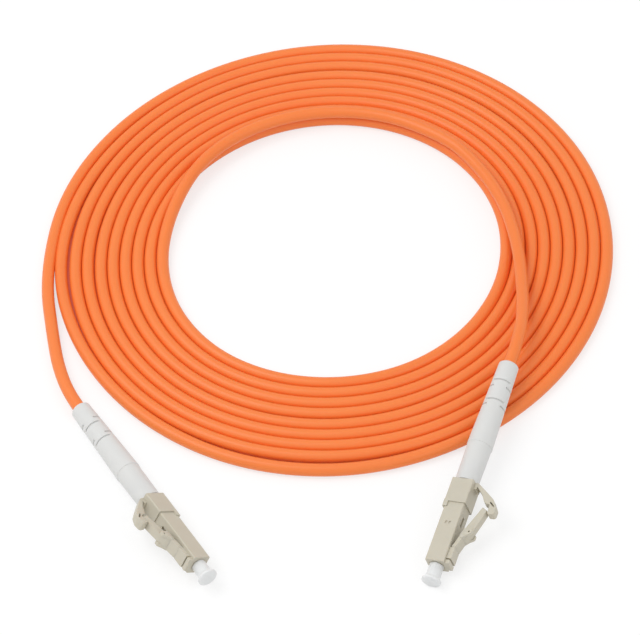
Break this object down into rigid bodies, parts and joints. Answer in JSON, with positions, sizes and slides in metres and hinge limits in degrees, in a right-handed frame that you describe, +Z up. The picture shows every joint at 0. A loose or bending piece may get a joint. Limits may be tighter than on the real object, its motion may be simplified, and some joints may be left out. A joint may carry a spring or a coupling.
{
  "type": "fiber optic patch cord",
  "caption": "Simplex fiber patch cord wound in a flat coil, with a latched small-form-factor plug, long boot and dust cap at each end.",
  "frame": {"origin": "on the surface the cord lies on, midway between the two plugs", "axes": "+Z up; +X from the left plug to the right plug; +Y from the plugs towards the coil"},
  "size_m": [0.1393, 0.1698, 0.0105],
  "materials": {
    "housing_beige": "satin moulded plastic",
    "inner_beige": "satin moulded plastic",
    "jacket_orange": "smooth satin cable jacket",
    "boot_white": "soft matte elastomer",
    "cap_clear": "translucent milky plastic",
    "ferrule_ceramic": "polished ceramic",
    "flange_metal": "turned",
    "spring_steel": "drawn wire",
    "crimp_metal": "crimped",
    "yarn_yellow": "bundled filament",
    "buffer_orange": "thin coating"
  },
  "bodies": {
    "cord": {"cable_coil": "jacket_orange", "cable_left_tail": "jacket_orange", "cable_right_tail": "jacket_orange", "left_spring": "spring_steel", "left_front_housing": "housing_beige", "left_rear_clip": "housing_beige", "left_rear_body": "inner_beige", "left_crimp_ring": "crimp_metal", "left_aramid_yarn": "yarn_yellow", "left_buffered_fibre": "buffer_orange", "left_jacket_end": "jacket_orange", "left_boot": "boot_white", "right_spring": "spring_steel", "right_front_housing": "housing_beige", "right_rear_clip": "housing_beige", "right_rear_body": "inner_beige", "right_crimp_ring": "crimp_metal", "right_aramid_yarn": "yarn_yellow", "right_buffered_fibre": "buffer_orange", "right_jacket_end": "jacket_orange", "right_boot": "boot_white"},
    "left_cap": {"left_dust_cap": "cap_clear"},
    "left_ferrule_group": {"left_ferrule": "ferrule_ceramic", "left_ferrule_flange": "flange_metal"},
    "left_trigger": {"left_trigger": "housing_beige"},
    "left_latch": {"left_latch": "housing_beige"},
    "right_cap": {"right_dust_cap": "cap_clear"},
    "right_ferrule_group": {"right_ferrule": "ferrule_ceramic", "right_ferrule_flange": "flange_metal"},
    "right_trigger": {"right_trigger": "housing_beige"},
    "right_latch": {"right_latch": "housing_beige"}
  },
  "joints": [
    {"name": "left_cap_pull", "type": "slide", "parent": "cord", "child": "left_cap", "axis": [0.4722, -0.8807, 0.0367], "range_m": [0, 0.006]},
    {"name": "left_ferrule_press", "type": "slide", "parent": "cord", "child": "left_ferrule_group", "axis": [-0.4722, 0.8807, -0.0367], "range_m": [0, 0.001], "stiffness_N_per_m": 2500, "springref_m": -0.002, "deforming": ["left_spring"]},
    {"name": "left_trigger_press", "type": "hinge", "parent": "cord", "child": "left_trigger", "pos_m": [-0.03647, -0.00233, 0.0055], "axis": [0.504, 0.3039, 0.8085], "range_deg": [-10.5, 3.5], "stiffness_Nm_per_rad": 0.01},
    {"name": "left_latch_press", "type": "hinge", "parent": "cord", "child": "left_latch", "pos_m": [-0.02832, -0.01693, 0.00591], "axis": [-0.504, -0.3039, -0.8085], "range_deg": [-5.25, 1.85], "stiffness_Nm_per_rad": 0.01},
    {"name": "right_cap_pull", "type": "slide", "parent": "cord", "child": "right_cap", "axis": [-0.3967, -0.9124, -0.1011], "range_m": [0, 0.006]},
    {"name": "right_ferrule_press", "type": "slide", "parent": "cord", "child": "right_ferrule_group", "axis": [0.3967, 0.9124, 0.1011], "range_m": [0, 0.001], "stiffness_N_per_m": 2500, "springref_m": -0.002, "deforming": ["right_spring"]},
    {"name": "right_trigger_press", "type": "hinge", "parent": "cord", "child": "right_trigger", "pos_m": [0.03941, -0.00652, 0.00561], "axis": [0.2517, -0.0023, -0.9678], "range_deg": [0, 14], "stiffness_Nm_per_rad": 0.01, "springref_deg": -8.59},
    {"name": "right_latch_press", "type": "hinge", "parent": "cord", "child": "right_latch", "pos_m": [0.03247, -0.02164, 0.00384], "axis": [-0.2517, 0.0023, 0.9678], "range_deg": [0, 7.1], "stiffness_Nm_per_rad": 0.01, "springref_deg": -8.59}
  ],
  "couplings": [
    {"joint": "left_latch_press", "follows": "left_trigger_press", "ratio": 0.5},
    {"joint": "right_latch_press", "follows": "right_trigger_press", "ratio": 0.5}
  ]
}
